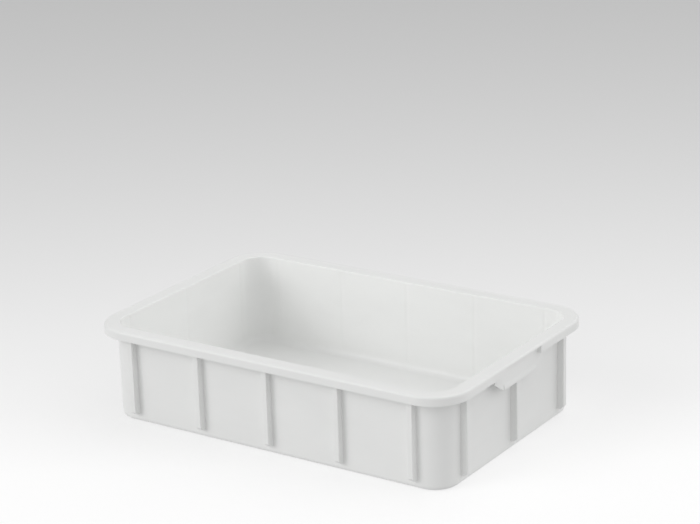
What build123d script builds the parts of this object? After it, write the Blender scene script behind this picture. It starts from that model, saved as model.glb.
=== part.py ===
"""Deep developing tray: one white polyethylene moulding, given as its named regions, face to face."""

import math
import os

from build123d import *

# Overall sizes, mm. The long side runs along X, and the tray stands on z = 0.
rim_length = 600.0
rim_width = 400.0
tray_height = 142.0

# The walls. They lean out a little towards the top, so that the moulding leaves its mould.
wall_thickness = 3.5
floor_thickness = 3.5
rim_overhang = 19.5
corner_radius = 36.0
wall_lean = 0.7
outer_base_round = 7.0
inner_base_round = 11.0
pan_height = 14.0

# The rim: a flat flange with its outer edge turned down as a skirt.
flange_thickness = 3.0
skirt_thickness = 3.0
skirt_drop = 13.0
rim_edge_round = 3.5
mouth_edge_round = 2.0

# The ribs outside, and the shallow sink line that each leaves inside.
rib_depth = 10.5
rib_width = 9.0
rib_edge_round = 1.5
rib_foot = 13.0
rib_foot_slope = 5.0
rib_inset = 10.5
long_side_ribs = 5
short_side_ribs = 3
sink_width = 7.0
sink_depth = 0.45

# The finger grip at the middle of each short side: under the flange the skirt is set in and hangs lower.
grip_half_length = 48.0
grip_set_in = 6.5
grip_thickness = rim_overhang - grip_set_in - rib_depth
grip_drop = 37.5
grip_lower_half_length = 45.0
grip_upper_half_length = 68.0
grip_taper_height = 15.0
lip_depth = 1.2
lip_height = 9.0
lip_round = 0.9

# The underside: a raised band round the edge carries the tray, and the gate mark is at the middle.
foot_band = 26.0
foot_step = 0.8
gate_radius = 5.0
gate_depth = 0.6

base_half_x = rim_length / 2 - rim_overhang
base_half_y = rim_width / 2 - rim_overhang
tangent_x = base_half_x - corner_radius
tangent_y = base_half_y - corner_radius
flange_under = tray_height - flange_thickness
skirt_bottom = tray_height - skirt_drop
lean_degrees = math.degrees(wall_lean / tray_height)
sides_x = {"left": -1, "right": 1}
sides_y = {"front": -1, "back": 1}


def lean_at(z):
    """How far the wall has moved out at height z."""
    return wall_lean * z / tray_height


def rounded_outline(offset, z):
    """The tray's outline at height z, its corners concentric, offset outward from the base outline."""
    outline = RectangleRounded(
        2 * (base_half_x + offset),
        2 * (base_half_y + offset),
        corner_radius + offset,
    )
    return Pos(0, 0, z) * outline


def leaning_block(offset, z_low, z_high):
    """A solid between two heights, whose sides follow the lean of the walls."""
    low = rounded_outline(offset + lean_at(z_low), z_low)
    high = rounded_outline(offset + lean_at(z_high), z_high)
    return loft([low, high])


def straight_block(offset, z_low, z_high):
    """A solid with upright sides between two heights."""
    return extrude(rounded_outline(offset, z_low), z_high - z_low)


def edges_at(shape, z):
    """The edges that lie flat at height z."""
    return [e for e in shape.edges() if abs(e.center().Z - z) < 0.01 and e.bounding_box().size.Z < 0.02]


def block(x0, x1, y0, y1, z0, z1):
    """An upright box from its two corners."""
    size = Box(x1 - x0, y1 - y0, z1 - z0)
    return Pos((x0 + x1) / 2, (y0 + y1) / 2, (z0 + z1) / 2) * size


def save(name, shape):
    """Write one region's solid under its node name."""
    solids = shape.solids()
    assert len(solids) == 1, (name, len(solids))
    export_step(solids[0], "parts/" + name + ".step")


def make_cavity():
    """The inside of the tray, up past the flange."""
    room = leaning_block(-wall_thickness, floor_thickness, tray_height + 1)
    return fillet(edges_at(room, floor_thickness), inner_base_round)


def make_body():
    """Floor and walls in one, with the sink lines and the underside, before it is divided."""
    body = leaning_block(0, 0, flange_under)
    body = fillet(edges_at(body, 0), outer_base_round)
    under = RectangleRounded(
        2 * (base_half_x - foot_band),
        2 * (base_half_y - foot_band),
        corner_radius,
    )
    body = body - extrude(under, foot_step)
    body = body - Pos(0, 0, foot_step) * Cylinder(gate_radius, 2 * gate_depth)
    return body - make_cavity()


def make_sink_lines():
    """A long cylinder behind every rib, leaning with the wall, that leaves a sink line where it grazes it."""
    radius = (sink_width**2 / 4 + sink_depth**2) / (2 * sink_depth)
    tool = Cylinder(radius, 2 * tray_height)
    middle = tray_height / 2
    out_x = base_half_x - wall_thickness + lean_at(middle) + sink_depth - radius
    out_y = base_half_y - wall_thickness + lean_at(middle) + sink_depth - radius
    lines = {}
    for side, sign in sides_y.items():
        lines[side] = [
            Pos(x, sign * out_y, middle) * Rot(-sign * lean_degrees, 0, 0) * tool
            for x in rib_places(long_side_ribs, tangent_x)
        ]
    for side, sign in sides_x.items():
        lines[side] = [
            Pos(sign * out_x, y, middle) * Rot(0, sign * lean_degrees, 0) * tool
            for y in rib_places(short_side_ribs, tangent_y)
        ]
    return lines


def rib_places(count, tangent):
    """Evenly spaced rib centres, the outer two just inside the corner curves."""
    reach = tangent - rib_inset
    return [reach * (2 * k / (count - 1) - 1) for k in range(count)]


def make_walls(body):
    """The base pan, the four straight walls and the four rounded corner walls."""
    far = rim_length
    save("base_pan", body & block(-far, far, -far, far, -1, pan_height))
    sink_lines = make_sink_lines()
    for side, sign in sides_y.items():
        span = sorted((sign * tangent_y, sign * far))
        wall = body & block(-tangent_x, tangent_x, *span, pan_height, flange_under)
        for line in sink_lines[side]:
            wall = wall - line
        save("wall_" + side, wall)
    for side, sign in sides_x.items():
        span = sorted((sign * tangent_x, sign * far))
        wall = body & block(*span, -tangent_y, tangent_y, pan_height, flange_under)
        for line in sink_lines[side]:
            wall = wall - line
        save("wall_" + side, wall)
    for side_y, sign_y in sides_y.items():
        for side_x, sign_x in sides_x.items():
            span_x = sorted((sign_x * tangent_x, sign_x * far))
            span_y = sorted((sign_y * tangent_y, sign_y * far))
            corner = body & block(*span_x, *span_y, pan_height, flange_under)
            save("corner_wall_" + side_y + "_" + side_x, corner)


def make_rim():
    """Flange and skirt in one ring. At both grips the skirt gives way to two short cheeks."""
    ring = straight_block(rim_overhang, skirt_bottom, tray_height)
    ring = fillet(edges_at(ring, tray_height), rim_edge_round)
    under = straight_block(rim_overhang - skirt_thickness, skirt_bottom, flange_under)
    set_in = rim_length / 2 - grip_set_in
    cheek_end = grip_half_length + skirt_thickness
    for sign in sides_x.values():
        outside = sorted((sign * set_in, sign * rim_length))
        under = under - block(*outside, -cheek_end, cheek_end, 0, flange_under)
    ring = ring - under
    for sign in sides_x.values():
        outside = sorted((sign * set_in, sign * rim_length))
        ring = ring - block(*outside, -grip_half_length, grip_half_length, 0, flange_under)
    ring = ring - make_cavity()
    return fillet(mouth_edges(ring), mouth_edge_round)


def mouth_edges(ring):
    """The edges of the flange round the mouth of the tray."""
    limit_x = base_half_x + 1
    limit_y = base_half_y + 1
    chosen = []
    for edge in edges_at(ring, tray_height):
        middle = edge.center()
        if abs(middle.X) < limit_x and abs(middle.Y) < limit_y:
            chosen.append(edge)
    return chosen


def save_rim(ring):
    """Divide the ring into four rails and four corners."""
    far = rim_length
    tall = 2 * tray_height
    for side, sign in sides_y.items():
        span = sorted((sign * tangent_y, sign * far))
        save("rim_" + side, ring & block(-tangent_x, tangent_x, *span, 0, tall))
    for side, sign in sides_x.items():
        span = sorted((sign * tangent_x, sign * far))
        save("rim_" + side, ring & block(*span, -tangent_y, tangent_y, 0, tall))
    for side_y, sign_y in sides_y.items():
        for side_x, sign_x in sides_x.items():
            span_x = sorted((sign_x * tangent_x, sign_x * far))
            span_y = sorted((sign_y * tangent_y, sign_y * far))
            save("rim_corner_" + side_y + "_" + side_x, ring & block(*span_x, *span_y, 0, tall))


def make_rib(out):
    """One rib on the side that faces -Y, its root cut to the lean of the wall."""
    side_view = Polyline(
        (-out - rib_depth, flange_under),
        (-out - rib_depth, rib_foot + rib_foot_slope),
        (-out - rib_depth + rib_foot_slope, rib_foot),
        (-out + wall_thickness / 2, rib_foot),
        (-out + wall_thickness / 2, flange_under),
        close=True,
    )
    profile = make_face(Plane.YZ * side_view)
    rib = extrude(profile, rib_width / 2, both=True)
    outer = [e for e in rib.edges() if e.center().Y < -out - rib_depth / 2 and abs(e.center().X) > 1]
    return fillet(outer, rib_edge_round)


def save_ribs():
    """Every rib in its place, numbered along its side."""
    inside = leaning_block(0, 0, tray_height)
    for side, sign in sides_y.items():
        turn = 0 if sign < 0 else 180
        rib = make_rib(base_half_y)
        for k, x in enumerate(rib_places(long_side_ribs, tangent_x), 1):
            save("rib_%s_%d" % (side, k), Pos(x, 0, 0) * Rot(0, 0, turn) * rib - inside)
    for side, sign in sides_x.items():
        rib = make_rib(base_half_x)
        for k, y in enumerate(rib_places(short_side_ribs, tangent_y), 1):
            save("rib_%s_%d" % (side, k), Pos(0, y, 0) * Rot(0, 0, sign * 90) * rib - inside)


def save_grips():
    """The set-in skirt of each finger grip: a plate with tapered ends and a thick lip along its foot."""
    foot = tray_height - grip_drop
    outline = Polyline(
        (-grip_upper_half_length, flange_under),
        (-grip_upper_half_length, foot + grip_taper_height),
        (-grip_lower_half_length, foot),
        (grip_lower_half_length, foot),
        (grip_upper_half_length, foot + grip_taper_height),
        (grip_upper_half_length, flange_under),
        close=True,
    )
    plate_face = rim_length / 2 - grip_set_in
    plate = extrude(make_face(Plane.YZ * outline), grip_thickness)
    plate = Pos(plate_face - grip_thickness, 0, 0) * plate
    lip_outline = Polyline(
        (plate_face - grip_thickness, foot),
        (plate_face + lip_depth, foot),
        (plate_face + lip_depth, foot + lip_height / 2),
        (plate_face, foot + lip_height),
        (plate_face - grip_thickness, foot + lip_height),
        close=True,
    )
    lip = extrude(make_face(Plane.XZ * lip_outline), grip_lower_half_length, both=True)
    lip = fillet([e for e in lip.edges() if e.center().X > plate_face + lip_depth / 2], lip_round)
    grip = plate + lip
    save("grip_right", grip)
    save("grip_left", Rot(0, 0, 180) * grip)


if __name__ == "__main__":
    os.makedirs("parts", exist_ok=True)
    tray_body = make_body()
    make_walls(tray_body)
    rim_ring = make_rim()
    save_rim(rim_ring)
    save_ribs()
    save_grips()
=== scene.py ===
import math

import bpy
from mathutils import Matrix, Vector

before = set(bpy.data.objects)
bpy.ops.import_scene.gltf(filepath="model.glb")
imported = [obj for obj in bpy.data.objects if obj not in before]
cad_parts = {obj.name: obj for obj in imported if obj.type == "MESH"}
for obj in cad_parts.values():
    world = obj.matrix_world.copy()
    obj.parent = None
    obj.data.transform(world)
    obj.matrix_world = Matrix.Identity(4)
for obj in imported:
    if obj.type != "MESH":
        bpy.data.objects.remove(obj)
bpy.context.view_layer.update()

# The camera: a long lens, turned to the tray's right and tipped down, with a slight tilt to one side.
camera_heading = math.radians(33.98)
camera_tilt = math.radians(18.53)
camera_roll = math.radians(-1.73)
camera_distance = 3.181
camera_aim = Vector((-0.0245, 0.0656, 0.2032))
camera_lens = 112.9

# The stage: a pale floor with a painted fall-off of light and a painted glow. Its tone is floor_far at a
# great distance, and floor_near more than that at the tray's middle;
# this grading is painted light, brighter near the tray and greyer far off. The difference falls off by a
# factor e every floor_fade metres, and the tone stops at floor_whitest. Paint and the floor's painted glow
# share it, and the glow is painted light that keeps the tray's shadow faint.
floor_half = 14.0
floor_heading = math.radians(34)
floor_far = 0.441
floor_near = 0.4595
floor_fade = 1.63
floor_whitest = 0.96
floor_paint = 0.5
# Strength of the floor's painted glow: emitted light from the floor, standing in for lamp light.
floor_painted_glow = 0.6
floor_roughness = 0.9

# Soft lights, each a disc of light: degrees to the right of the front, degrees up, degrees wide, strength.
lights = {
    "low": (-35, 22, 50, 0.82),
    "glint": (-37, 27, 20, 0.22),
    "side": (85, 20, 50, 0.2),
    "right": (120, 25, 50, 0.16),
    "back_right": (150, 45, 80, 0.76),
    "top": (0, 89, 100, 0.12),
}
room_light = 0.475

# How far out each lamp stands, metres. It makes no difference to the light of a sun lamp.
light_reach = 2

# The plastic: its duller and brighter milk white, and the range of its roughness.
plastic_dull = (0.925, 0.93, 0.92)
plastic_bright = (0.955, 0.96, 0.95)
plastic_roughness = (0.3, 0.38)

# Its noises, in features to the metre: clouds of colour, patches of gloss and the orange-peel skin. The range
# from noise_low to noise_high is the part of a noise that is spread over a colour or a roughness.
cloud_scale = 9
cloud_detail = 4
cloud_stretch = (1, 1, 2.5)
gloss_scale = 55
gloss_detail = 5
peel_scale = 420
peel_detail = 3
peel_strength = 0.35
peel_height = 0.00012
noise_low = 0.3
noise_high = 0.7


def look_matrix(place, back, turn=0.0):
    """A camera or light at place, facing away from back, with its right side level."""
    back = back.normalized()
    right = Vector((0, 0, 1)).cross(back).normalized()
    up = back.cross(right)
    right_turned = right * math.cos(turn) + up * math.sin(turn)
    up_turned = up * math.cos(turn) - right * math.sin(turn)
    turned = Matrix((right_turned, up_turned, back)).transposed().to_4x4()
    return Matrix.Translation(place) @ turned


def direction(heading, height):
    """The unit vector that points heading radians to the right of the front and height radians up."""
    level = math.cos(height)
    return Vector((math.sin(heading) * level, -math.cos(heading) * level, math.sin(height)))


def add_camera():
    """The camera, at the photograph's viewing angle."""
    back = direction(camera_heading, camera_tilt)
    data = bpy.data.cameras.new("camera")
    data.lens = camera_lens
    data.sensor_width = 36
    camera = bpy.data.objects.new("camera", data)
    camera.matrix_world = look_matrix(camera_aim + back * camera_distance, back, camera_roll)
    bpy.context.scene.collection.objects.link(camera)
    bpy.context.scene.camera = camera


def add_light(name, heading, height, width, strength):
    """A soft light from that heading and height."""
    back = direction(math.radians(heading), math.radians(height))
    data = bpy.data.lights.new(name, "SUN")
    data.angle = math.radians(width)
    data.energy = strength
    light = bpy.data.objects.new(name, data)
    light.matrix_world = look_matrix(back * light_reach, back)
    bpy.context.scene.collection.objects.link(light)


def add_room_light():
    """Even white light from all round."""
    world = bpy.data.worlds.new("studio")
    world.use_nodes = True
    background = world.node_tree.nodes["Background"]
    background.inputs["Color"].default_value = (1, 1, 1, 1)
    background.inputs["Strength"].default_value = room_light
    bpy.context.scene.world = world


def new_material(name):
    """A material with its node tree, and its shader."""
    material = bpy.data.materials.new(name)
    material.use_nodes = True
    tree = material.node_tree
    return material, tree, tree.nodes["Principled BSDF"]


def math_node(tree, operation, value, *factors):
    """A number node that works on a socket and up to two fixed numbers."""
    node = tree.nodes.new("ShaderNodeMath")
    node.operation = operation
    tree.links.new(value, node.inputs[0])
    for index, factor in enumerate(factors):
        node.inputs[index + 1].default_value = factor
    return node.outputs[0]


def noise(tree, place, scale, detail, stretch=(1, 1, 1)):
    """Noise over the object, with scale features to the metre, drawn out by stretch."""
    mapping = tree.nodes.new("ShaderNodeMapping")
    mapping.inputs["Scale"].default_value = stretch
    tree.links.new(place, mapping.inputs["Vector"])
    node = tree.nodes.new("ShaderNodeTexNoise")
    node.inputs["Scale"].default_value = scale
    node.inputs["Detail"].default_value = detail
    tree.links.new(mapping.outputs["Vector"], node.inputs["Vector"])
    return node.outputs["Fac"]


def between(tree, value, low, high):
    """The middle range of a noise, spread from low to high."""
    node = tree.nodes.new("ShaderNodeMapRange")
    node.inputs["From Min"].default_value = noise_low
    node.inputs["From Max"].default_value = noise_high
    node.inputs["To Min"].default_value = low
    node.inputs["To Max"].default_value = high
    tree.links.new(value, node.inputs["Value"])
    return node.outputs["Result"]


def mixed(tree, value, first, second):
    """A colour between first and second."""
    node = tree.nodes.new("ShaderNodeMix")
    node.data_type = "RGBA"
    node.inputs["A"].default_value = (*first, 1)
    node.inputs["B"].default_value = (*second, 1)
    tree.links.new(value, node.inputs["Factor"])
    return node.outputs["Result"]


def painted_light_floor():
    """Floor whose tone is a painted fall-off of light from white to grey along its heading, with a painted
    glow.
    """
    material, tree, shader = new_material("floor_painted_light")
    geometry = tree.nodes.new("ShaderNodeNewGeometry")
    along = tree.nodes.new("ShaderNodeVectorMath")
    along.operation = "DOT_PRODUCT"
    along.inputs[1].default_value = -direction(floor_heading, 0)
    tree.links.new(geometry.outputs["Position"], along.inputs[0])
    faded = math_node(tree, "MULTIPLY", along.outputs["Value"], -1 / floor_fade)
    fall = math_node(tree, "EXPONENT", faded)
    grade = math_node(tree, "MULTIPLY_ADD", fall, floor_near, floor_far)
    capped = math_node(tree, "MINIMUM", grade, floor_whitest)
    paint = math_node(tree, "MULTIPLY", capped, floor_paint)
    tree.links.new(paint, shader.inputs["Base Color"])
    # The floor emits its graded tone as a painted glow, which keeps the tray's shadow faint.
    tree.links.new(capped, shader.inputs["Emission Color"])
    shader.inputs["Emission Strength"].default_value = floor_painted_glow
    shader.inputs["Roughness"].default_value = floor_roughness
    shader.inputs["Specular IOR Level"].default_value = 0.0
    return material


def add_floor():
    """The floor. Diffuse rays pass it by, so it shows in the tray's gloss but does not light it otherwise."""
    mesh = bpy.data.meshes.new("floor")
    h = floor_half
    mesh.from_pydata([(-h, -h, 0), (h, -h, 0), (h, h, 0), (-h, h, 0)], [], [(0, 1, 2, 3)])
    floor = bpy.data.objects.new("floor", mesh)
    bpy.context.scene.collection.objects.link(floor)
    mesh.materials.append(painted_light_floor())
    floor.visible_diffuse = False


def white_polyethylene():
    """Milky moulded plastic: faint cloudy flow in the colour, an uneven gloss and a fine orange-peel skin."""
    material, tree, shader = new_material("white_polyethylene")
    place = tree.nodes.new("ShaderNodeTexCoord").outputs["Object"]

    cloud = noise(tree, place, cloud_scale, cloud_detail, cloud_stretch)
    tint = between(tree, cloud, 0, 1)
    tree.links.new(mixed(tree, tint, plastic_dull, plastic_bright), shader.inputs["Base Color"])

    gloss = noise(tree, place, gloss_scale, gloss_detail)
    tree.links.new(between(tree, gloss, *plastic_roughness), shader.inputs["Roughness"])

    peel = noise(tree, place, peel_scale, peel_detail)
    bump = tree.nodes.new("ShaderNodeBump")
    bump.inputs["Strength"].default_value = peel_strength
    bump.inputs["Distance"].default_value = peel_height
    tree.links.new(peel, bump.inputs["Height"])
    tree.links.new(bump.outputs["Normal"], shader.inputs["Normal"])
    return material


add_camera()
add_floor()
for light_name, setting in lights.items():
    add_light(light_name, *setting)

add_room_light()
bpy.context.scene.view_settings.view_transform = "Standard"

plastic = white_polyethylene()
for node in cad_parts.values():
    node.data.materials.clear()
    node.data.materials.append(plastic)
